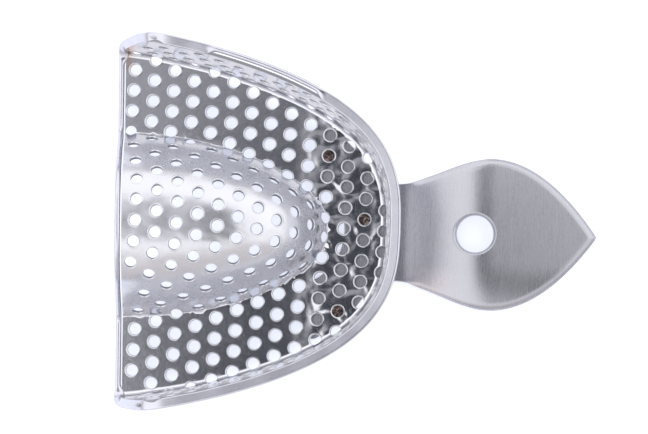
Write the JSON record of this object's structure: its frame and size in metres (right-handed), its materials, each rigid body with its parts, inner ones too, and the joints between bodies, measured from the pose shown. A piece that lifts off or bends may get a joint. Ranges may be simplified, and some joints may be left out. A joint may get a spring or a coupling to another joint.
{
  "type": "impression tray",
  "caption": "Perforated stainless steel upper impression tray with a wire rim, a palate dome and a spot-welded leaf-shaped handle",
  "frame": {"origin": "middle of the object's length and width, at the level of the underside of the handle's foot, which is the lowest face and what the tray stands on", "axes": "+X from the open back edge to the handle's tip, +Y to the left of a person who looks from the back edge to the handle with the troughs up, +Z the side that takes the impression"},
  "size_m": [0.092, 0.0704, 0.0164],
  "materials": {
    "polished_sheet": "pressed stainless sheet, polished, with fine drawing marks and a rolled lip round each perforation",
    "polished_wire": "round stainless wire, polished with the rim",
    "brushed_sheet": "stainless sheet brushed across its length",
    "burnt_weld": "dark, fused spot weld metal",
    "tack_weld": "small bead of weld metal, polished over"
  },
  "bodies": {
    "root": {"perforated_shell": "polished_sheet", "rim_wire": "polished_wire", "handle": "brushed_sheet", "spot_weld_left": "burnt_weld", "spot_weld_centre": "burnt_weld", "spot_weld_right": "burnt_weld", "rim_tack_left": "tack_weld", "rim_tack_right": "tack_weld"}
  },
  "joints": []
}
